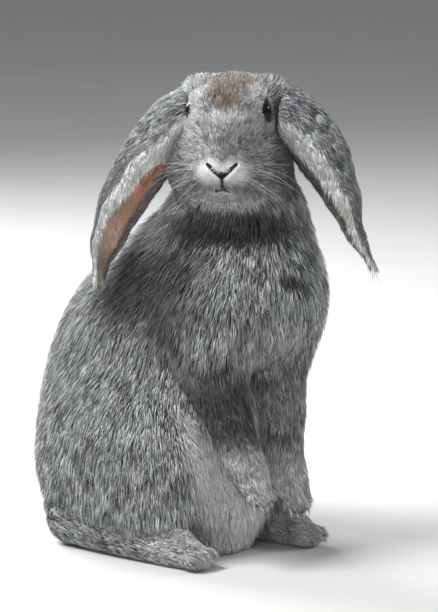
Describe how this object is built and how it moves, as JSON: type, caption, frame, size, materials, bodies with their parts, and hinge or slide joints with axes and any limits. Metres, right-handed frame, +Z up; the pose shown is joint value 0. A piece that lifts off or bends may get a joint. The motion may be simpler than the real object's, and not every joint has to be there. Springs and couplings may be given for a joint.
{
  "type": "rabbit",
  "caption": "Life-size still lop-eared rabbit sitting up on its haunches, forepaws raised, head turned to its right, ears hanging out to the sides.",
  "frame": {"origin": "middle of the small flat under the rump, on the floor", "axes": "+Z up, the body faces -Y, its left side is +X; the head is turned 53 degrees to its right"},
  "size_m": [0.1752, 0.3084, 0.3661],
  "materials": {
    "coat": "soft silver-grey ticked fur, pale on the belly",
    "feet": "short pale grey fur, stained brown under the forepaws, with pale horn claws",
    "ears": "short grey fur outside, bare pink skin and a white fringe inside",
    "eyes": "wet, dark brown"
  },
  "bodies": {
    "root": {"head": "coat", "neck": "coat", "trunk": "coat", "haunch_left": "coat", "haunch_right": "coat", "hind_foot_left": "feet", "hind_foot_right": "feet", "foreleg_left": "coat", "foreleg_right": "coat", "forepaw_left": "feet", "forepaw_right": "feet", "tail": "coat", "ear_left": "ears", "ear_right": "ears", "eye_left": "eyes", "eye_right": "eyes"}
  },
  "joints": []
}
